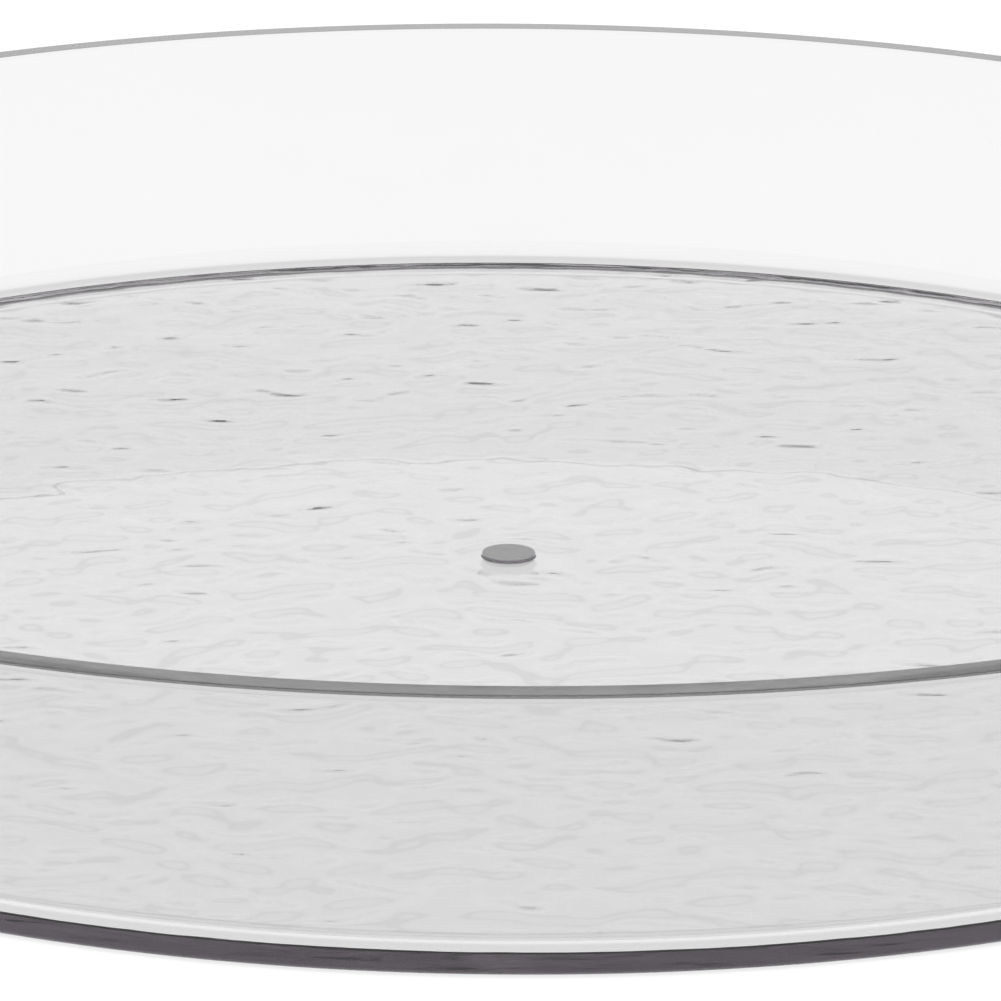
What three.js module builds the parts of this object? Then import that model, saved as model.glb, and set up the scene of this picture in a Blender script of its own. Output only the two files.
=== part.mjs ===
// Round clear vanity tray, a single moulding that stands on four soft stick-on foot pads.
//
// The wall flares outwards to a flat-topped rim with rounded edges. The floor is a thin slab with
// a fillet into the wall and a flat underside, and the four pads hold it just clear of the table.
// A low gate stub is left at the centre of the floor, where the plastic entered the mould.
//
// Units are millimetres, +Z is up, and the origin is on the table under the tray's centre.

import * as THREE from 'three';

// ---- Driving dimensions ----
const RIM_RADIUS = 120;
const BASE_RADIUS = 112.4;
const TRAY_HEIGHT = 28.9;
const RIM_THICKNESS = 3.4;
const BASE_WALL_THICKNESS = 2.4;
const FLOOR_THICKNESS = 1.6;

const PAD_COUNT = 4;
const PAD_RADIUS = 5;
const PAD_HEIGHT = 0.8;
const PAD_EDGE_ROUND = 0.25;
const PAD_CIRCLE_RADIUS = 102;
const PAD_FIRST_ANGLE = Math.PI / 4;

const GATE_STUB_RADIUS = 2.7;
const GATE_STUB_HEIGHT = 0.4;

// ---- Rounding of the section's corners ----
const RIM_ROUND = 0.5;
const FLOOR_FILLET = 3.5;
const BASE_EDGE_ROUND = 0.8;

// ---- Fineness of the facets ----
const TRAY_SIDES = 96;
const PAD_SIDES = 24;
const STEPS_PER_FILLET = 3;

// ---- Levels worked out from the driving dimensions ----
const UNDERSIDE_Z = PAD_HEIGHT;
const FLOOR_TOP_Z = UNDERSIDE_Z + FLOOR_THICKNESS;

// Radius of the wall's outer face at a given height, on its straight flare.
function outerWallRadius(z) {
  const rise = (z - UNDERSIDE_Z) / (TRAY_HEIGHT - UNDERSIDE_Z);
  return BASE_RADIUS + rise * (RIM_RADIUS - BASE_RADIUS);
}

// Turns a list of corners into a lathe section. A corner is [radius, height, rounding], and a
// rounding of 0 keeps it sharp. A rounded corner becomes a circular arc that is tangent to both
// of its straight neighbours.
function roundedSection(corners) {
  const section = [];
  corners.forEach(([radius, height, rounding], index) => {
    const corner = new THREE.Vector2(radius, height);
    if (rounding === 0) {
      section.push(corner);
      return;
    }
    const [beforeRadius, beforeHeight] = corners[index - 1];
    const [afterRadius, afterHeight] = corners[index + 1];
    const toBefore = new THREE.Vector2(beforeRadius, beforeHeight).sub(corner).normalize();
    const toAfter = new THREE.Vector2(afterRadius, afterHeight).sub(corner).normalize();
    const halfAngle = Math.acos(toBefore.dot(toAfter)) / 2;
    const bisector = toBefore.clone().add(toAfter).normalize();
    const centre = corner.clone().addScaledVector(bisector, rounding / Math.sin(halfAngle));
    const tangentLength = rounding / Math.tan(halfAngle);
    const start = corner.clone().addScaledVector(toBefore, tangentLength).sub(centre);
    const end = corner.clone().addScaledVector(toAfter, tangentLength).sub(centre);
    const turn = Math.atan2(start.cross(end), start.dot(end));
    for (let step = 0; step <= STEPS_PER_FILLET; step += 1) {
      const angle = (turn * step) / STEPS_PER_FILLET;
      section.push(start.clone().rotateAround(new THREE.Vector2(), angle).add(centre));
    }
  });
  return section;
}

// A solid of revolution about +Z. The section runs upwards on the outside, so faces point out.
function turnedSolid(name, section, sides, material) {
  const geometry = new THREE.LatheGeometry(section, sides);
  geometry.rotateX(Math.PI / 2);
  const mesh = new THREE.Mesh(geometry, material);
  mesh.name = name;
  return mesh;
}

// The moulding: floor, flared wall, rim and gate stub.
function makeTrayBody() {
  const section = roundedSection([
    [0, UNDERSIDE_Z, 0],
    [BASE_RADIUS, UNDERSIDE_Z, BASE_EDGE_ROUND],
    [RIM_RADIUS, TRAY_HEIGHT, RIM_ROUND],
    [RIM_RADIUS - RIM_THICKNESS, TRAY_HEIGHT, RIM_ROUND],
    [outerWallRadius(FLOOR_TOP_Z) - BASE_WALL_THICKNESS, FLOOR_TOP_Z, FLOOR_FILLET],
    [GATE_STUB_RADIUS, FLOOR_TOP_Z, 0],
    [GATE_STUB_RADIUS, FLOOR_TOP_Z + GATE_STUB_HEIGHT, 0],
    [0, FLOOR_TOP_Z + GATE_STUB_HEIGHT, 0],
  ]);
  const clearPlastic = new THREE.MeshStandardMaterial({
    color: 0xf1f0f3,
    roughness: 0.04,
    metalness: 0,
    transparent: true,
    opacity: 0.35,
  });
  return turnedSolid('tray_body', section, TRAY_SIDES, clearPlastic);
}

// One soft foot pad: a low disc, rounded where it meets the table.
function makeFootPad(name) {
  const section = roundedSection([
    [0, 0, 0],
    [PAD_RADIUS, 0, PAD_EDGE_ROUND],
    [PAD_RADIUS, PAD_HEIGHT, 0],
    [0, PAD_HEIGHT, 0],
  ]);
  const softClear = new THREE.MeshStandardMaterial({
    color: 0xdfe0e2,
    roughness: 0.35,
    metalness: 0,
    transparent: true,
    opacity: 0.6,
  });
  return turnedSolid(name, section, PAD_SIDES, softClear);
}

const tray = new THREE.Group();
tray.add(makeTrayBody());

for (let index = 0; index < PAD_COUNT; index += 1) {
  const angle = PAD_FIRST_ANGLE + (index * 2 * Math.PI) / PAD_COUNT;
  const pad = makeFootPad(`foot_pad_${index + 1}`);
  pad.position.set(PAD_CIRCLE_RADIUS * Math.cos(angle), PAD_CIRCLE_RADIUS * Math.sin(angle), 0);
  tray.add(pad);
}

export default tray;
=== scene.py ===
"""Round clear vanity tray: the visual model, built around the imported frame.

The tray is one clear moulding with a flared wall, a gentle water-like ripple under its floor and a
cut gate mark at its centre. It stands on four soft pads. All sizes are in metres, and +Z is up.
"""
import logging
import math
from dataclasses import dataclass, field
from enum import Enum

import bmesh
import bpy
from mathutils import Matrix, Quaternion, Vector, noise


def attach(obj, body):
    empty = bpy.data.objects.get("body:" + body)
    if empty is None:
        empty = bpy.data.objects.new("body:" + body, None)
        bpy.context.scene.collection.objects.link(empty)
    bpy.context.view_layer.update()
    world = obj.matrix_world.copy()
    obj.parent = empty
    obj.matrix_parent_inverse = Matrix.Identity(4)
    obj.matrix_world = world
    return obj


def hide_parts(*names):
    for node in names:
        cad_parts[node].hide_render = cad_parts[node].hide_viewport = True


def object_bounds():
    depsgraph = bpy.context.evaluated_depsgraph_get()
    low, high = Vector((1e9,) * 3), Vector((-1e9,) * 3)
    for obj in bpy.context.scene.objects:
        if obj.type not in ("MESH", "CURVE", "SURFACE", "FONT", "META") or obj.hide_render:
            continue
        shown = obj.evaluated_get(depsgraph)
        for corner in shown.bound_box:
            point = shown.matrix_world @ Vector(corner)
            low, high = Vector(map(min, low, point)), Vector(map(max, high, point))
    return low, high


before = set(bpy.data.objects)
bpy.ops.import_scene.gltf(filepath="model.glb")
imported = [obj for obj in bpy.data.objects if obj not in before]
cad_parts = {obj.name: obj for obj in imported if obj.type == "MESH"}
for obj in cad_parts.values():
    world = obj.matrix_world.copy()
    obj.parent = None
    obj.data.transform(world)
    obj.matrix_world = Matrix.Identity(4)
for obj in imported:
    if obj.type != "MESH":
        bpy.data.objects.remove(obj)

CAD_LOW, CAD_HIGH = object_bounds()
MILLIMETRE = 0.001
WELD_REACH = 1e-7

logging.basicConfig(level=logging.INFO, format="%(levelname)s %(name)s: %(message)s")
LOG = logging.getLogger("vanity_tray")


class Slot(Enum):
    """Material slots of the record."""

    CLEAR_PLASTIC = "clear_plastic"
    SOFT_PAD = "soft_pad"


# --------------------------------------------------------------------------------------------
# Node helpers and shared effects
# --------------------------------------------------------------------------------------------


def new_tree(material: bpy.types.Material) -> bpy.types.NodeTree:
    """Empties a material's node tree.

    Args:
        material: the material whose nodes are cleared.

    Returns:
        The empty node tree.
    """
    material.use_nodes = True
    material.node_tree.nodes.clear()
    return material.node_tree


def add_node(tree: bpy.types.NodeTree, kind: str, **inputs: object) -> bpy.types.Node:
    """Adds a node and sets its input sockets by name.

    Args:
        tree: the tree that gets the node.
        kind: the node's type, such as "ShaderNodeBump".
        **inputs: socket names, with underscores for spaces, and their plain values.

    Returns:
        The new node.
    """
    node = tree.nodes.new(kind)
    for name, value in inputs.items():
        node.inputs[name.replace("_", " ")].default_value = value
    return node


def math_node(
    tree: bpy.types.NodeTree, operation: str, first: object, second: object
) -> bpy.types.NodeSocket:
    """Joins two values with a Math node.

    Args:
        tree: the tree that gets the node.
        operation: the Math node's operation.
        first: a socket or a number.
        second: a socket or a number.

    Returns:
        The node's output socket.
    """
    node = tree.nodes.new("ShaderNodeMath")
    node.operation = operation
    for socket, value in zip(node.inputs, (first, second)):
        if isinstance(value, bpy.types.NodeSocket):
            tree.links.new(value, socket)
        else:
            socket.default_value = value
    return node.outputs[0]


def smooth_ramp(
    tree: bpy.types.NodeTree, value: bpy.types.NodeSocket, span: tuple, results: tuple
) -> bpy.types.NodeSocket:
    """Goes smoothly from the first result to the second over a span of the value.

    Args:
        tree: the tree that gets the node.
        value: the value that is tested.
        span: the values where the ramp starts and ends, the lower one first.
        results: the results at the start and at the end.

    Returns:
        The result's socket.
    """
    step = add_node(tree, "ShaderNodeMapRange", From_Min=span[0], From_Max=span[1])
    step.interpolation_type = "SMOOTHSTEP"
    step.inputs["To Min"].default_value = results[0]
    step.inputs["To Max"].default_value = results[1]
    tree.links.new(value, step.inputs["Value"])
    return step.outputs["Result"]


@dataclass(frozen=True)
class HandlingMarks:
    """Faint smudges, hairline scratches and settled dust, as one node group for every finish.

    A window is a pair: a mask is 0 at its first value and 1 at its second.
    """

    group_name: str = "handling_marks"
    smudge_window: tuple = (0.52, 0.78)
    scratch_window: tuple = (0.006, 0.0)
    scratch_turn: float = 0.61
    scratch_stretch: float = 0.12
    patch_window: tuple = (0.5, 0.62)
    patch_scale: float = 22.0
    speck_window: tuple = (0.16, 0.05)
    drift_window: tuple = (0.55, 0.75)
    drift_scale: float = 40.0

    def group(self) -> bpy.types.NodeTree:
        """Builds the group on first use, and finds the same one after that.

        Returns:
            The group's tree.
        """
        found = bpy.data.node_groups.get(self.group_name)
        if found is not None:
            return found
        tree = bpy.data.node_groups.new(self.group_name, "ShaderNodeTree")
        face = tree.interface
        face.new_socket("Vector", in_out="INPUT", socket_type="NodeSocketVector")
        makers = {"Smudge": self._smudge, "Scratch": self._scratch, "Dust": self._dust}
        for name in makers:
            face.new_socket(f"{name} Scale", in_out="INPUT", socket_type="NodeSocketFloat")
        for name in makers:
            face.new_socket(name, in_out="OUTPUT", socket_type="NodeSocketFloat")
        entry = tree.nodes.new("NodeGroupInput")
        leave = tree.nodes.new("NodeGroupOutput")
        for name, make in makers.items():
            mask = make(tree, entry.outputs["Vector"], entry.outputs[f"{name} Scale"])
            tree.links.new(mask, leave.inputs[name])
        return tree

    def _smudge(
        self, tree: bpy.types.NodeTree, vector: bpy.types.NodeSocket, scale: bpy.types.NodeSocket
    ) -> bpy.types.NodeSocket:
        """Soft patches, as fingers leave them.

        Args:
            tree: the group's tree.
            vector: the object coordinates.
            scale: patches per metre.

        Returns:
            A mask from 0 to 1.
        """
        cloud = add_node(tree, "ShaderNodeTexNoise", Detail=3.0, Roughness=0.55, Distortion=0.6)
        tree.links.new(vector, cloud.inputs["Vector"])
        tree.links.new(scale, cloud.inputs["Scale"])
        return self._window(tree, cloud.outputs["Fac"], self.smudge_window)

    def _scratch(
        self, tree: bpy.types.NodeTree, vector: bpy.types.NodeSocket, scale: bpy.types.NodeSocket
    ) -> bpy.types.NodeSocket:
        """Thin, long, slightly bent lines in patches.

        Args:
            tree: the group's tree.
            vector: the object coordinates.
            scale: lines per metre.

        Returns:
            A mask from 0 to 1.
        """
        stretch = add_node(
            tree,
            "ShaderNodeMapping",
            Rotation=(0.0, 0.0, self.scratch_turn),
            Scale=(self.scratch_stretch, 1.0, 1.0),
        )
        lines = add_node(tree, "ShaderNodeTexNoise", Detail=1.0, Roughness=0.4, Distortion=0.9)
        tree.links.new(vector, stretch.inputs["Vector"])
        tree.links.new(stretch.outputs["Vector"], lines.inputs["Vector"])
        tree.links.new(scale, lines.inputs["Scale"])
        offset = math_node(tree, "SUBTRACT", lines.outputs["Fac"], 0.5)
        ridge = math_node(tree, "ABSOLUTE", offset, 0.0)
        line = self._window(tree, ridge, self.scratch_window)
        patches = add_node(tree, "ShaderNodeTexNoise", Scale=self.patch_scale, Detail=2.0)
        tree.links.new(vector, patches.inputs["Vector"])
        patch = self._window(tree, patches.outputs["Fac"], self.patch_window)
        return math_node(tree, "MULTIPLY", line, patch)

    def _dust(
        self, tree: bpy.types.NodeTree, vector: bpy.types.NodeSocket, scale: bpy.types.NodeSocket
    ) -> bpy.types.NodeSocket:
        """Tiny specks, thicker in some places than in others.

        Args:
            tree: the group's tree.
            vector: the object coordinates.
            scale: specks per metre.

        Returns:
            A mask from 0 to 1.
        """
        specks = add_node(tree, "ShaderNodeTexVoronoi", Randomness=1.0)
        tree.links.new(vector, specks.inputs["Vector"])
        tree.links.new(scale, specks.inputs["Scale"])
        spot = self._window(tree, specks.outputs["Distance"], self.speck_window)
        drift = add_node(tree, "ShaderNodeTexNoise", Scale=self.drift_scale, Detail=2.0)
        tree.links.new(vector, drift.inputs["Vector"])
        share = self._window(tree, drift.outputs["Fac"], self.drift_window)
        return math_node(tree, "MULTIPLY", spot, share)

    def _window(
        self, tree: bpy.types.NodeTree, value: bpy.types.NodeSocket, window: tuple
    ) -> bpy.types.NodeSocket:
        """Makes a mask from a value, and the window's first value may be the higher one.

        Args:
            tree: the group's tree.
            value: the value that is tested.
            window: where the mask is 0, and where it is 1.

        Returns:
            The mask's socket.
        """
        start, end = window
        if start < end:
            return smooth_ramp(tree, value, (start, end), (0.0, 1.0))
        return smooth_ramp(tree, value, (end, start), (1.0, 0.0))


def place_marks(tree: bpy.types.NodeTree, scales: tuple) -> bpy.types.Node:
    """Places the shared marks group in a material, on object coordinates.

    Args:
        tree: the material's tree.
        scales: smudges, scratches and dust specks per metre.

    Returns:
        The group node.
    """
    marks = tree.nodes.new("ShaderNodeGroup")
    marks.node_tree = HandlingMarks().group()
    for name, scale in zip(("Smudge Scale", "Scratch Scale", "Dust Scale"), scales):
        marks.inputs[name].default_value = scale
    place = tree.nodes.new("ShaderNodeTexCoord")
    tree.links.new(place.outputs["Object"], marks.inputs["Vector"])
    return marks


def blend_colour(
    tree: bpy.types.NodeTree, factor: bpy.types.NodeSocket, clean: tuple, marked: tuple
) -> bpy.types.NodeSocket:
    """Mixes two colours by a mask.

    Args:
        tree: the material's tree.
        factor: the mask, 0 for the clean colour.
        clean: RGB of the clean surface.
        marked: RGB of the marked surface.

    Returns:
        The colour socket.
    """
    mix = tree.nodes.new("ShaderNodeMix")
    mix.data_type = "RGBA"
    colour_inputs = [socket for socket in mix.inputs if socket.type == "RGBA"]
    colour_inputs[0].default_value = (*clean, 1.0)
    colour_inputs[1].default_value = (*marked, 1.0)
    tree.links.new(factor, mix.inputs["Factor"])
    return next(socket for socket in mix.outputs if socket.type == "RGBA")


def add_bump(
    tree: bpy.types.NodeTree,
    shader: bpy.types.Node,
    pattern: bpy.types.Node,
    strength: float,
    depth: float,
) -> None:
    """Gives a shader a noise pattern as bump, on object coordinates.

    Args:
        tree: the material's tree.
        shader: the Principled shader.
        pattern: the noise node.
        strength: how much of the bump shows.
        depth: the bump's depth in metres.
    """
    place = tree.nodes.new("ShaderNodeTexCoord")
    bump = add_node(tree, "ShaderNodeBump", Strength=strength, Distance=depth)
    tree.links.new(place.outputs["Object"], pattern.inputs["Vector"])
    tree.links.new(pattern.outputs["Fac"], bump.inputs["Height"])
    tree.links.new(bump.outputs["Normal"], shader.inputs["Normal"])


def set_roughness(
    tree: bpy.types.NodeTree,
    shader: bpy.types.Node,
    mask: bpy.types.NodeSocket,
    clean: float,
    added: float,
) -> None:
    """Makes a shader rougher where a mask is.

    Args:
        tree: the material's tree.
        shader: the Principled shader.
        mask: 0 where the surface is clean.
        clean: the roughness where the mask is 0.
        added: what the mask adds where it is 1.
    """
    rough = math_node(tree, "MULTIPLY_ADD", mask, added)
    rough.node.inputs[2].default_value = clean
    tree.links.new(rough, shader.inputs["Roughness"])


# --------------------------------------------------------------------------------------------
# Finishes
# --------------------------------------------------------------------------------------------


@dataclass(frozen=True)
class ClearPlastic:
    """Polished clear moulded plastic with a faint tint that deepens along the edges."""

    name: str = "clear_moulded_plastic"
    ior: float = 1.53
    clean_colour: tuple = (0.905, 0.905, 0.905)
    dusty_colour: tuple = (0.86, 0.86, 0.865)
    depth_colour: tuple = (0.42, 0.37, 0.43)
    depth_density: float = 18.0
    lamp_colour: tuple = (0.9, 0.9, 0.905)
    mark_scales: tuple = (34.0, 420.0, 1300.0)
    smudge_roughness: float = 0.02
    scratch_roughness: float = 0.12
    waviness: float = 0.00006
    wave_scale: float = 110.0

    def build(self) -> bpy.types.Material:
        """Builds the material.

        Returns:
            The finished material.
        """
        material = bpy.data.materials.new(self.name)
        tree = new_tree(material)
        output = tree.nodes.new("ShaderNodeOutputMaterial")
        plastic = add_node(tree, "ShaderNodeBsdfPrincipled", IOR=self.ior, Metallic=0.0)
        plastic.inputs["Transmission Weight"].default_value = 1.0
        marks = place_marks(tree, self.mark_scales)
        colour = blend_colour(tree, marks.outputs["Dust"], self.clean_colour, self.dusty_colour)
        tree.links.new(colour, plastic.inputs["Base Color"])
        smudged = math_node(tree, "MULTIPLY", marks.outputs["Smudge"], self.smudge_roughness)
        scratched = math_node(tree, "MULTIPLY", marks.outputs["Scratch"], self.scratch_roughness)
        tree.links.new(math_node(tree, "ADD", smudged, scratched), plastic.inputs["Roughness"])
        swell = add_node(
            tree, "ShaderNodeTexNoise", Scale=self.wave_scale, Detail=1.0, Roughness=0.4
        )
        add_bump(tree, plastic, swell, 1.0, self.waviness)
        self._let_lamps_through(tree, plastic, output)
        depth = tree.nodes.new("ShaderNodeVolumeAbsorption")
        depth.inputs["Color"].default_value = (*self.depth_colour, 1.0)
        depth.inputs["Density"].default_value = self.depth_density
        tree.links.new(depth.outputs["Volume"], output.inputs["Volume"])
        return material

    def _let_lamps_through(
        self, tree: bpy.types.NodeTree, plastic: bpy.types.Node, output: bpy.types.Node
    ) -> None:
        """Lets light pass straight through the plastic on its way to other surfaces.

        Args:
            tree: the material's tree.
            plastic: the Principled shader.
            output: the material output.
        """
        path = tree.nodes.new("ShaderNodeLightPath")
        clear = add_node(tree, "ShaderNodeBsdfTransparent", Color=(*self.lamp_colour, 1.0))
        mix = tree.nodes.new("ShaderNodeMixShader")
        tree.links.new(path.outputs["Is Shadow Ray"], mix.inputs["Fac"])
        tree.links.new(plastic.outputs["BSDF"], mix.inputs[1])
        tree.links.new(clear.outputs["BSDF"], mix.inputs[2])
        tree.links.new(mix.outputs["Shader"], output.inputs["Surface"])


@dataclass(frozen=True)
class SatinRimPaintedShade:
    """The rim's flat land, left satin where the mould closes; its grey is painted shade, a
    near-black tint on the clear plastic.
    """

    name: str = "satin_rim_painted_shade"
    ior: float = 1.53
    # painted shade: the near-black tint lets little light through, so the rim's land looks dark
    # grey
    clean_colour: tuple = (0.075, 0.075, 0.076)
    dusty_colour: tuple = (0.12, 0.12, 0.122)
    mark_scales: tuple = (90.0, 700.0, 1500.0)
    land_roughness: float = 0.16
    scratch_roughness: float = 0.1
    grain_scale: float = 1800.0
    grain_strength: float = 0.4
    grain_depth: float = 0.000008

    def build(self) -> bpy.types.Material:
        """Builds the material.

        Returns:
            The finished material.
        """
        material = bpy.data.materials.new(self.name)
        tree = new_tree(material)
        output = tree.nodes.new("ShaderNodeOutputMaterial")
        plastic = add_node(tree, "ShaderNodeBsdfPrincipled", IOR=self.ior, Metallic=0.0)
        plastic.inputs["Transmission Weight"].default_value = 1.0
        marks = place_marks(tree, self.mark_scales)
        colour = blend_colour(tree, marks.outputs["Dust"], self.clean_colour, self.dusty_colour)
        tree.links.new(colour, plastic.inputs["Base Color"])
        scratch = marks.outputs["Scratch"]
        set_roughness(tree, plastic, scratch, self.land_roughness, self.scratch_roughness)
        grain = add_node(tree, "ShaderNodeTexNoise", Scale=self.grain_scale, Detail=2.0)
        add_bump(tree, plastic, grain, self.grain_strength, self.grain_depth)
        tree.links.new(plastic.outputs["BSDF"], output.inputs["Surface"])
        return material


@dataclass(frozen=True)
class CutGatePaintedShade:
    """The cut end of the gate: slightly torn plastic, with painted shade: an opaque mid grey
    stands in for the dark the clear stub refracts.
    """

    name: str = "cut_gate_painted_shade"
    # painted shade: both greys are far darker than cut clear plastic; the grain only varies the
    # tone between them
    pale: tuple = (0.44, 0.44, 0.445)
    dark: tuple = (0.33, 0.33, 0.335)
    ior: float = 1.5
    mark_scales: tuple = (200.0, 900.0, 2000.0)
    cut_roughness: float = 0.5
    smudge_roughness: float = 0.15
    grain_scale: float = 1500.0
    grain_strength: float = 0.6
    grain_depth: float = 0.00005

    def build(self) -> bpy.types.Material:
        """Builds the material.

        Returns:
            The finished material.
        """
        material = bpy.data.materials.new(self.name)
        tree = new_tree(material)
        output = tree.nodes.new("ShaderNodeOutputMaterial")
        plastic = add_node(tree, "ShaderNodeBsdfPrincipled", IOR=self.ior, Metallic=0.0)
        grain = add_node(tree, "ShaderNodeTexNoise", Scale=self.grain_scale, Detail=4.0)
        add_bump(tree, plastic, grain, self.grain_strength, self.grain_depth)
        colour = blend_colour(tree, grain.outputs["Fac"], self.pale, self.dark)
        tree.links.new(colour, plastic.inputs["Base Color"])
        smudge = place_marks(tree, self.mark_scales).outputs["Smudge"]
        set_roughness(tree, plastic, smudge, self.cut_roughness, self.smudge_roughness)
        tree.links.new(plastic.outputs["BSDF"], output.inputs["Surface"])
        return material


@dataclass(frozen=True)
class SoftPadRubber:
    """Translucent soft elastomer with a satin, slightly dusty surface."""

    name: str = "soft_pad_elastomer"
    clean_colour: tuple = (0.93, 0.935, 0.94)
    dusty_colour: tuple = (0.80, 0.80, 0.79)
    ior: float = 1.43
    transmission: float = 0.8
    mark_scales: tuple = (160.0, 900.0, 2600.0)
    satin_roughness: float = 0.32
    smudge_roughness: float = 0.2
    grain_scale: float = 2200.0
    grain_strength: float = 0.5
    grain_depth: float = 0.00002

    def build(self) -> bpy.types.Material:
        """Builds the material.

        Returns:
            The finished material.
        """
        material = bpy.data.materials.new(self.name)
        tree = new_tree(material)
        output = tree.nodes.new("ShaderNodeOutputMaterial")
        rubber = add_node(tree, "ShaderNodeBsdfPrincipled", IOR=self.ior, Metallic=0.0)
        rubber.inputs["Transmission Weight"].default_value = self.transmission
        marks = place_marks(tree, self.mark_scales)
        colour = blend_colour(tree, marks.outputs["Dust"], self.clean_colour, self.dusty_colour)
        tree.links.new(colour, rubber.inputs["Base Color"])
        smudge = marks.outputs["Smudge"]
        set_roughness(tree, rubber, smudge, self.satin_roughness, self.smudge_roughness)
        grain = add_node(tree, "ShaderNodeTexNoise", Scale=self.grain_scale, Detail=2.0)
        add_bump(tree, rubber, grain, self.grain_strength, self.grain_depth)
        tree.links.new(rubber.outputs["BSDF"], output.inputs["Surface"])
        return material


# --------------------------------------------------------------------------------------------
# Mesh helpers
# --------------------------------------------------------------------------------------------


def section_wire(mesh: bmesh.types.BMesh, corners: list, open_side: int) -> list:
    """Draws a section in the XZ plane, rounds its corners and leaves one side open.

    Args:
        mesh: the mesh that gets the section.
        corners: (radius, height, rounding, steps) for each corner, and a rounding of 0 is sharp.
        open_side: the side that starts at this corner's index is left out.

    Returns:
        The edges of the section.
    """
    verts = [mesh.verts.new((radius, 0.0, height)) for radius, height, _, _ in corners]
    mesh.faces.new(verts)
    gap = mesh.edges.get((verts[open_side], verts[(open_side + 1) % len(verts)]))
    gap_ends = [Vector(end.co) for end in gap.verts]
    for index, (radius, height, rounding, steps) in enumerate(corners):
        if rounding == 0:
            continue
        before = Vector(corners[index - 1][:2])
        after = Vector(corners[(index + 1) % len(corners)][:2])
        corner = Vector((radius, height))
        half_angle = (before - corner).angle(after - corner) / 2
        bmesh.ops.bevel(
            mesh,
            geom=[verts[index]],
            offset=rounding / math.tan(half_angle),
            offset_type="OFFSET",
            segments=steps,
            profile=0.5,
            affect="VERTICES",
            material=-1,
        )
    bmesh.ops.delete(mesh, geom=mesh.faces[:], context="FACES_ONLY")
    spare = [edge for edge in mesh.edges if all(_is_at(end, gap_ends) for end in edge.verts)]
    bmesh.ops.delete(mesh, geom=spare, context="EDGES")
    return mesh.edges[:]


def _is_at(vert: bmesh.types.BMVert, places: list) -> bool:
    """Says whether a vertex is at one of the places.

    Args:
        vert: the vertex.
        places: the places.

    Returns:
        True when one of them is within the welding distance.
    """
    return any((vert.co - place).length < WELD_REACH for place in places)


def hold_flats(mesh: bmesh.types.BMesh, edges: list, reach: float) -> None:
    """Adds a vertex just inside both ends of every long side, so that flats stay flat when smooth.

    Args:
        mesh: the mesh of the section.
        edges: the section's edges.
        reach: the distance from the end, and sides shorter than four times this are left alone.
    """
    for edge in edges:
        length = edge.calc_length()
        if length < 4 * reach:
            continue
        start = edge.verts[0]
        rest, _ = bmesh.utils.edge_split(edge, start, reach / length)
        far_end = rest.verts[0] if rest.verts[0] in edge.verts else rest.verts[1]
        longer = max((rest, edge), key=lambda side: side.calc_length())
        outer = next(end for end in longer.verts if end is not far_end)
        bmesh.utils.edge_split(longer, outer, reach / longer.calc_length())


def spin_section(mesh: bmesh.types.BMesh, edges: list, steps: int) -> None:
    """Turns a section about the Z axis and closes the seam and the pole.

    Args:
        mesh: the mesh of the section.
        edges: the edges to turn.
        steps: the number of steps in a full turn.
    """
    verts = list(dict.fromkeys(end for edge in edges for end in edge.verts))
    bmesh.ops.spin(
        mesh,
        geom=verts + edges,
        cent=(0.0, 0.0, 0.0),
        axis=(0.0, 0.0, 1.0),
        dvec=(0.0, 0.0, 0.0),
        angle=2 * math.pi,
        steps=steps,
        use_merge=True,
        use_duplicate=False,
    )
    bmesh.ops.remove_doubles(mesh, verts=mesh.verts[:], dist=WELD_REACH)


def smooth_share(value: float) -> float:
    """Rises smoothly from 0 to 1 while the value does, and stays level outside.

    Args:
        value: the value that is tested.

    Returns:
        A share from 0 to 1.
    """
    share = min(max(value, 0.0), 1.0)
    return share * share * (3.0 - 2.0 * share)


def finish_mesh(
    mesh: bmesh.types.BMesh, name: str, materials: list, sharp_degrees: float = 40.0
) -> bpy.types.Object:
    """Makes the finished object of a mesh, smooth shaded with sharp edges kept.

    Args:
        mesh: the finished mesh, which is freed.
        name: the piece's name.
        materials: the materials, in the order of the faces' material indices.
        sharp_degrees: edges that turn by more than this stay sharp.

    Returns:
        The object, linked to the scene.
    """
    bmesh.ops.remove_doubles(mesh, verts=mesh.verts[:], dist=WELD_REACH)
    bmesh.ops.recalc_face_normals(mesh, faces=mesh.faces[:])
    for face in mesh.faces:
        face.smooth = True
    for edge in mesh.edges:
        if len(edge.link_faces) == 2:
            edge.smooth = edge.calc_face_angle() < math.radians(sharp_degrees)
    data = bpy.data.meshes.new(name)
    mesh.to_mesh(data)
    mesh.free()
    for material in materials:
        data.materials.append(material)
    piece = bpy.data.objects.new(name, data)
    bpy.context.scene.collection.objects.link(piece)
    return piece


# --------------------------------------------------------------------------------------------
# The tray
# --------------------------------------------------------------------------------------------


@dataclass(frozen=True)
class RippleRelief:
    """A gentle water-like unevenness, as the mould leaves it under the floor."""

    ripple_length: float = 4.0 * MILLIMETRE
    ripple_width: float = 3.5 * MILLIMETRE
    depth: float = 0.066 * MILLIMETRE
    steepness: float = 2.6
    wander: float = 0.35
    wander_scale: float = 0.5
    layer: float = 0.37
    seed: int = 7

    def rise(self, x: float, y: float) -> float:
        """How far the surface stands back from its lowest level.

        Args:
            x: place along X in metres.
            y: place along Y in metres.

        Returns:
            A height from 0 to depth.
        """
        point = Vector((x / self.ripple_length, y / self.ripple_width, self.layer))
        point += noise.noise_vector(point * self.wander_scale) * self.wander
        return self.depth * smooth_share(0.5 + 0.5 * self.steepness * noise.noise(point))


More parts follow.
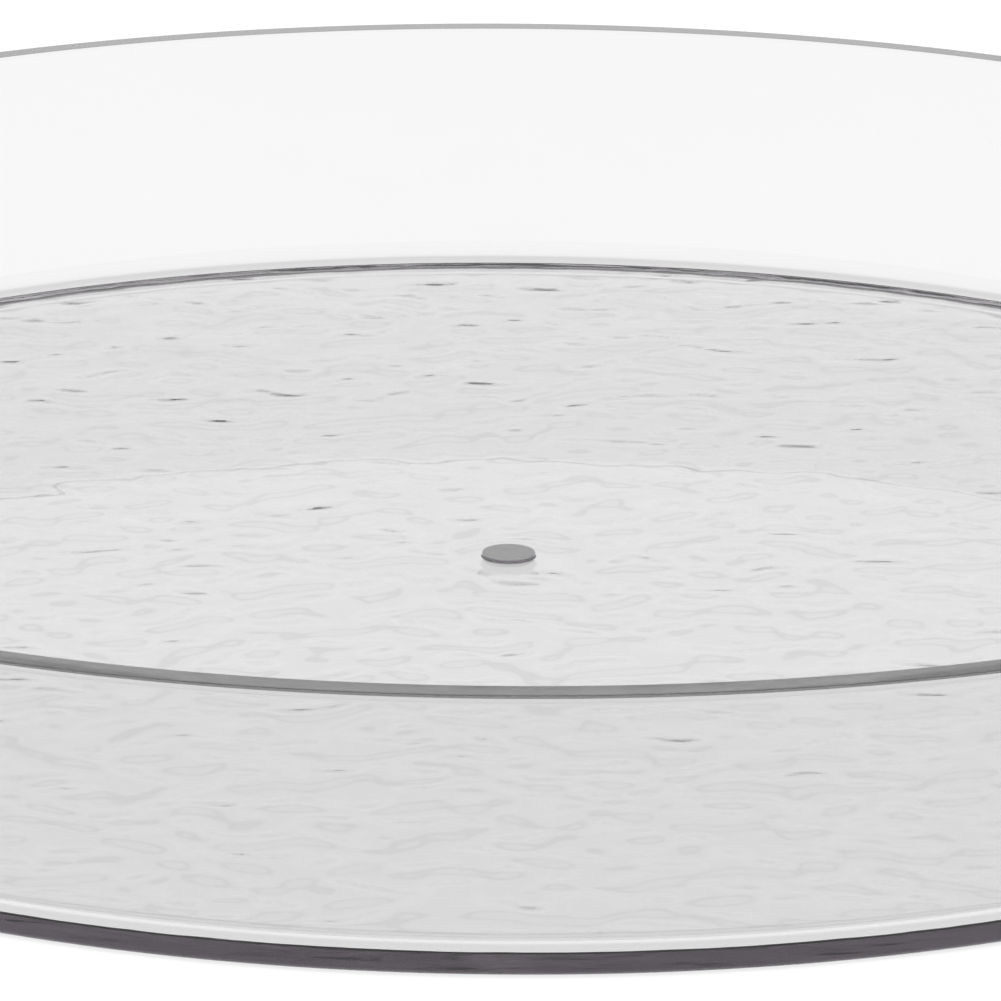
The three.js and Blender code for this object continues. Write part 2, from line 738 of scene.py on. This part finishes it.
@dataclass
class TrayBody:
    """The clear moulding: rippled floor, flared wall, rounded rim and gate stub.

    The grid margin and the ring's reach are in pitches of the relief's grid.
    """

    rim_radius: float = 119.97 * MILLIMETRE
    base_radius: float = 112.4 * MILLIMETRE
    rim_height: float = 28.9 * MILLIMETRE
    rim_thickness: float = 3.4 * MILLIMETRE
    base_wall_thickness: float = 2.4 * MILLIMETRE
    floor_thickness: float = 1.6 * MILLIMETRE
    underside: float = 0.8 * MILLIMETRE
    rim_round: float = 0.5 * MILLIMETRE
    floor_fillet: float = 3.5 * MILLIMETRE
    base_round: float = 0.8 * MILLIMETRE
    gate_radius: float = 2.7 * MILLIMETRE
    gate_height: float = 0.4 * MILLIMETRE
    gate_foot_round: float = 0.15 * MILLIMETRE
    gate_edge_round: float = 0.1 * MILLIMETRE
    gate_land: float = 0.5 * MILLIMETRE
    gate_dish: float = 0.05 * MILLIMETRE
    calm_radius: float = 4.6 * MILLIMETRE
    relief_edge: float = 0.2 * MILLIMETRE
    relief_pitch: float = 0.74 * MILLIMETRE
    relief_fade: float = 1.4 * MILLIMETRE
    grid_margin: float = 0.6
    ring_reach: float = 2.2
    flat_margin: float = 0.12 * MILLIMETRE
    turn_steps: int = 384
    sharp_degrees: float = 50.0
    relief: RippleRelief = field(default_factory=RippleRelief)
    pad_places: list = field(default_factory=list)
    pad_land: float = 6.2 * MILLIMETRE

    def outer_radius(self, height: float) -> float:
        """Radius of the wall's outer face at a height.

        Args:
            height: the height over the table.

        Returns:
            The radius.
        """
        rise = (height - self.underside) / (self.rim_height - self.underside)
        return self.base_radius + rise * (self.rim_radius - self.base_radius)

    @property
    def relief_radius(self) -> float:
        """Radius at which the relief under the floor ends.

        Returns:
            The radius.
        """
        return self.base_radius - self.base_round - self.relief_edge

    def build(
        self, clear: bpy.types.Material, satin: bpy.types.Material, cut: bpy.types.Material
    ) -> bpy.types.Object:
        """Builds the moulding as one closed body.

        Args:
            clear: the clear plastic.
            satin: the rim's flat land, satin with painted shade.
            cut: the cut face of the gate stub, painted grey as painted shade.

        Returns:
            The tray's object.
        """
        mesh = bmesh.new()
        self._turn_shell(mesh)
        self._press_relief(mesh)
        self._close_ring(mesh, self.relief_radius)
        self._mark_finishes(mesh)
        return finish_mesh(mesh, "tray_moulding", [clear, satin, cut], self.sharp_degrees)

    def _turn_shell(self, mesh: bmesh.types.BMesh) -> None:
        """Turns the section of gate stub, floor top, wall and rim, open at the relief.

        Args:
            mesh: the body's mesh.
        """
        floor_top = self.underside + self.floor_thickness
        gate_top = floor_top + self.gate_height
        inner_foot = self.outer_radius(floor_top) - self.base_wall_thickness
        part = bmesh.new()
        edges = section_wire(
            part,
            [
                (0.0, gate_top - self.gate_dish, 0, 0),
                (self.relief_radius, self.underside, 0, 0),
                (self.base_radius, self.underside, self.base_round, 12),
                (self.rim_radius, self.rim_height, self.rim_round, 8),
                (self.rim_radius - self.rim_thickness, self.rim_height, self.rim_round, 8),
                (inner_foot, floor_top, self.floor_fillet, 14),
                (self.gate_radius, floor_top, self.gate_foot_round, 3),
                (self.gate_radius, gate_top, self.gate_edge_round, 3),
                (self.gate_radius - self.gate_land, gate_top, 0, 0),
            ],
            open_side=0,
        )
        hold_flats(part, edges, self.flat_margin)
        spin_section(part, part.edges[:], self.turn_steps)
        self._merge(mesh, part)

    def _press_relief(self, mesh: bmesh.types.BMesh) -> None:
        """Lays the fine grid under the floor and presses the ripples into it.

        The wander's offsets come from a seed that is otherwise the clock, so it is set here.

        Args:
            mesh: the body's mesh.
        """
        part = bmesh.new()
        half = math.ceil(self.relief_radius / self.relief_pitch)
        bmesh.ops.create_grid(
            part, x_segments=2 * half, y_segments=2 * half, size=half * self.relief_pitch
        )
        outer = self.relief_radius - self.grid_margin * self.relief_pitch
        outside = [vert for vert in part.verts if vert.co.length > outer]
        bmesh.ops.delete(part, geom=outside, context="VERTS")
        noise.seed_set(self.relief.seed)
        for vert in part.verts:
            rise = self.relief.rise(vert.co.x, vert.co.y) * self._fade(vert.co)
            vert.co.z = self.underside + rise
        self._merge(mesh, part)

    def _fade(self, place: Vector) -> float:
        """How much of the relief a place has: none at the edge, under the gate or over a pad.

        Args:
            place: the place under the floor.

        Returns:
            A share from 0 to 1.
        """
        distances = [self.relief_radius - place.length, place.length - self.calm_radius]
        flat = Vector((place.x, place.y))
        distances += [(flat - Vector(pad)).length - self.pad_land for pad in self.pad_places]
        return smooth_share(min(distances) / self.relief_fade)

    def _close_ring(self, mesh: bmesh.types.BMesh, radius: float) -> None:
        """Fills the gap between a turned ring and the jagged edge of the grid.

        Args:
            mesh: the mesh with both edges.
            radius: radius of the turned ring.
        """
        reach = self.ring_reach * self.relief_pitch
        rim = [
            edge
            for edge in mesh.edges
            if edge.is_boundary
            and all(abs(Vector(end.co.xy).length - radius) < reach for end in edge.verts)
        ]
        bmesh.ops.triangle_fill(mesh, edges=rim, use_beauty=True, normal=(0.0, 0.0, -1.0))

    def _mark_finishes(self, mesh: bmesh.types.BMesh) -> None:
        """Gives the rim's land its satin finish with painted shade, and the stub's end its cut
        finish painted grey as painted shade.

        The land takes in the flatter part of its two roundings.

        Args:
            mesh: the body's mesh.
        """
        land_level = self.rim_height - 0.4 * self.rim_round
        stub_level = self.underside + self.floor_thickness + 0.6 * self.gate_height
        land_radius = self.rim_radius - self.rim_thickness + 0.6 * self.rim_round
        for face in mesh.faces:
            centre = face.calc_center_median()
            if centre.z > land_level and centre.xy.length > land_radius:
                face.material_index = 1
            elif centre.z > stub_level and centre.xy.length < self.gate_radius:
                face.material_index = 2

    def _merge(self, mesh: bmesh.types.BMesh, part: bmesh.types.BMesh) -> None:
        """Adds a finished part to the body's mesh and frees it.

        Args:
            mesh: the body's mesh.
            part: the part's mesh.
        """
        spare = bpy.data.meshes.new("spare")
        part.to_mesh(spare)
        part.free()
        mesh.from_mesh(spare)
        bpy.data.meshes.remove(spare)


@dataclass
class FootPads:
    """Four low soft discs with a rounded foot and a shallow ring pressed into it."""

    radius: float = 5.0 * MILLIMETRE
    height: float = 0.8 * MILLIMETRE
    air_gap: float = 0.01 * MILLIMETRE
    circle_radius: float = 102.0 * MILLIMETRE
    first_angle: float = math.pi / 4
    count: int = 4
    foot_round: float = 0.25 * MILLIMETRE
    groove_radius: float = 3.2 * MILLIMETRE
    groove_width: float = 0.35 * MILLIMETRE
    groove_depth: float = 0.15 * MILLIMETRE
    groove_slope: float = 0.1 * MILLIMETRE
    groove_edge_round: float = 0.05 * MILLIMETRE
    groove_floor_round: float = 0.04 * MILLIMETRE
    top_round: float = 0.08 * MILLIMETRE
    steps: int = 72

    def places(self) -> list:
        """Works out where the pads are.

        Returns:
            The centres as (x, y), in order.
        """
        centres = []
        for index in range(self.count):
            angle = self.first_angle + index * 2 * math.pi / self.count
            centres.append(
                (self.circle_radius * math.cos(angle), self.circle_radius * math.sin(angle))
            )
        return centres

    def build(self, rubber: bpy.types.Material) -> list:
        """Builds the pads.

        Args:
            rubber: the soft finish.

        Returns:
            The pads' objects, in the order of the CAD nodes.
        """
        return [self._pad(index, place, rubber) for index, place in enumerate(self.places())]

    def _pad(self, index: int, place: tuple, rubber: bpy.types.Material) -> bpy.types.Object:
        """Builds one pad at its place.

        Args:
            index: the pad's place in the order, from 0.
            place: the pad's centre as (x, y).
            rubber: the soft finish.

        Returns:
            The pad's object.
        """
        mesh = bmesh.new()
        groove_out = self.groove_radius
        groove_in = groove_out - self.groove_width
        top = self.height - self.air_gap
        edges = section_wire(
            mesh,
            [
                (0.0, 0.0, 0, 0),
                (groove_in, 0.0, self.groove_edge_round, 2),
                (groove_in + self.groove_slope, self.groove_depth, self.groove_floor_round, 2),
                (groove_out - self.groove_slope, self.groove_depth, self.groove_floor_round, 2),
                (groove_out, 0.0, self.groove_edge_round, 2),
                (self.radius, 0.0, self.foot_round, 5),
                (self.radius, top, self.top_round, 2),
                (0.0, top, 0, 0),
            ],
            open_side=7,
        )
        spin_section(mesh, edges, self.steps)
        bmesh.ops.translate(mesh, verts=mesh.verts[:], vec=(*place, 0.0))
        return finish_mesh(mesh, f"soft_pad_{index + 1}", [rubber])


# --------------------------------------------------------------------------------------------
# Stage, light and camera
# --------------------------------------------------------------------------------------------


@dataclass(frozen=True)
class Studio:
    """A softly lit white table in a room with a bright backdrop all round and a dimmer ceiling."""

    table_size: float = 8.0
    table_drop: float = 0.02 * MILLIMETRE
    table_colour: tuple = (0.15, 0.15, 0.15)
    table_glow: float = 0.945
    shaded_glow: float = 0.73
    shade_radius: float = 112.5 * MILLIMETRE
    shade_edge: float = 1.2 * MILLIMETRE
    shade_back: float = 2.5 * MILLIMETRE
    horizon_strength: float = 1.06
    backdrop_strength: float = 0.90
    gap_strength: float = 0.22
    ceiling_strength: float = 0.80
    horizon_degrees: float = 17.3
    backdrop_top_degrees: float = 22.6
    gap_degrees: float = 3.0
    horizon_edge_degrees: float = 0.9
    edge_degrees: float = 0.2
    light_passes: int = 32

    def build(self) -> None:
        """Builds the table and the light."""
        self._table()
        self._room()
        self._light_paths()

    def _table(self) -> None:
        """The pale table top, just under the pads, glowing softly, with a painted shadow: a dimmer
        glow in a disc under the tray, set a little behind it.
        """
        mesh = bmesh.new()
        bmesh.ops.create_grid(mesh, x_segments=1, y_segments=1, size=self.table_size / 2)
        level = CAD_LOW.z - self.table_drop
        bmesh.ops.translate(mesh, verts=mesh.verts[:], vec=(0.0, 0.0, level))
        material = bpy.data.materials.new("table_white")
        tree = new_tree(material)
        output = tree.nodes.new("ShaderNodeOutputMaterial")
        paint = add_node(tree, "ShaderNodeBsdfPrincipled", Roughness=0.9)
        paint.inputs["Base Color"].default_value = (*self.table_colour, 1.0)
        paint.inputs["Specular IOR Level"].default_value = 0.0
        paint.inputs["Emission Color"].default_value = (1.0, 1.0, 1.0, 1.0)
        place = tree.nodes.new("ShaderNodeTexCoord")
        reach = tree.nodes.new("ShaderNodeVectorMath")
        reach.operation = "DISTANCE"
        reach.inputs[1].default_value = (0.0, self.shade_back, 0.0)
        tree.links.new(place.outputs["Object"], reach.inputs[0])
        # painted shadow: the glow falls to shaded_glow inside shade_radius of a point shade_back
        # behind the centre
        glow = smooth_ramp(
            tree,
            reach.outputs["Value"],
            (self.shade_radius, self.shade_radius + self.shade_edge),
            (self.shaded_glow, self.table_glow),
        )
        tree.links.new(glow, paint.inputs["Emission Strength"])
        tree.links.new(paint.outputs["BSDF"], output.inputs["Surface"])
        finish_mesh(mesh, "table_top", [material])

    def _room(self) -> None:
        """The light from all round: a bright backdrop, a thin dark gap over it, and a ceiling."""
        world = bpy.data.worlds.new("white_room")
        bpy.context.scene.world = world
        world.use_nodes = True
        tree = world.node_tree
        background = tree.nodes["Background"]
        background.inputs["Color"].default_value = (1.0, 1.0, 1.0, 1.0)
        place = tree.nodes.new("ShaderNodeTexCoord")
        parts = tree.nodes.new("ShaderNodeSeparateXYZ")
        tree.links.new(place.outputs["Generated"], parts.inputs[0])
        height = parts.outputs["Z"]
        gap_start = self.backdrop_top_degrees
        gap_end = gap_start + self.gap_degrees
        horizon_part = self.horizon_strength - self.gap_strength
        backdrop_part = self.backdrop_strength - self.gap_strength
        low = smooth_ramp(
            tree,
            height,
            self._band(self.horizon_degrees, self.horizon_edge_degrees),
            (horizon_part, backdrop_part),
        )
        open_share = smooth_ramp(
            tree, height, self._band(gap_start, self.edge_degrees), (1.0, 0.0)
        )
        high = smooth_ramp(
            tree,
            height,
            self._band(gap_end, self.edge_degrees),
            (self.gap_strength, self.ceiling_strength),
        )
        strength = math_node(tree, "ADD", math_node(tree, "MULTIPLY", low, open_share), high)
        tree.links.new(strength, background.inputs["Strength"])

    def _light_paths(self) -> None:
        """Lets light pass through and inside the plastic often enough, and keeps its tones."""
        scene = bpy.context.scene
        scene.view_settings.view_transform = "Standard"
        scene.cycles.glossy_bounces = self.light_passes
        scene.cycles.transmission_bounces = self.light_passes
        scene.cycles.max_bounces = self.light_passes

    def _band(self, degrees: float, softness: float) -> tuple:
        """The heights on the unit sphere where a soft edge starts and ends.

        Args:
            degrees: the edge's elevation.
            softness: half of the edge's width in degrees.

        Returns:
            The two heights.
        """
        return tuple(math.sin(math.radians(degrees + side * softness)) for side in (-1.0, 1.0))


@dataclass(frozen=True)
class PortraitCamera:
    """A long lens close to the tray, aimed a little above its centre.

    The distance and the aim are in rim radii, so that the view follows the tray's size.
    """

    distance: float = 5.87
    elevation_degrees: float = 18.15
    focal_length: float = 249.1
    sensor_width: float = 36.0
    roll_degrees: float = 0.37
    aim_left: float = 0.0072
    aim_up: float = 0.058
    base_level: float = 0.95 * MILLIMETRE

    def build(self, rim_radius: float) -> None:
        """Places the camera and makes it the scene's camera.

        Args:
            rim_radius: the tray's outer radius at the rim.
        """
        data = bpy.data.cameras.new("portrait_camera")
        data.sensor_width = self.sensor_width
        data.lens = self.focal_length
        data.clip_start = 0.01
        data.clip_end = 50.0
        camera = bpy.data.objects.new("portrait_camera", data)
        bpy.context.scene.collection.objects.link(camera)
        rise = math.radians(self.elevation_degrees)
        away = Vector((0.0, -math.cos(rise), math.sin(rise)))
        view_up = Vector((0.0, math.sin(rise), math.cos(rise)))
        base = Vector((0.0, 0.0, self.base_level))
        place = base + away * self.distance * rim_radius
        target = base + (view_up * self.aim_up - Vector((self.aim_left, 0.0, 0.0))) * rim_radius
        turn = Quaternion((0.0, 0.0, 1.0), math.radians(self.roll_degrees))
        camera.location = place
        camera.rotation_mode = "QUATERNION"
        camera.rotation_quaternion = (target - place).to_track_quat("-Z", "Y") @ turn
        bpy.context.scene.camera = camera


def hand_over(piece: bpy.types.Object, nodes: list) -> None:
    """Ties a finished piece to the frame and logs it.

    Args:
        piece: the finished piece.
        nodes: names of the CAD nodes that it stands for.
    """
    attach(piece, "root")
    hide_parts(*nodes)
    LOG.info("%s: %d faces, stands for %s", piece.name, len(piece.data.polygons), ", ".join(nodes))


def main() -> None:
    """Builds every piece in order, then the stage and the camera."""
    pads = FootPads()
    tray = TrayBody(pad_places=pads.places())
    moulding = tray.build(ClearPlastic().build(), SatinRimPaintedShade().build(), CutGatePaintedShade().build())
    hand_over(moulding, ["tray_body"])
    for index, pad in enumerate(pads.build(SoftPadRubber().build())):
        hand_over(pad, [f"foot_pad_{index + 1}"])
    Studio().build()
    PortraitCamera().build(tray.rim_radius)


if __name__ == "__main__":
    main()
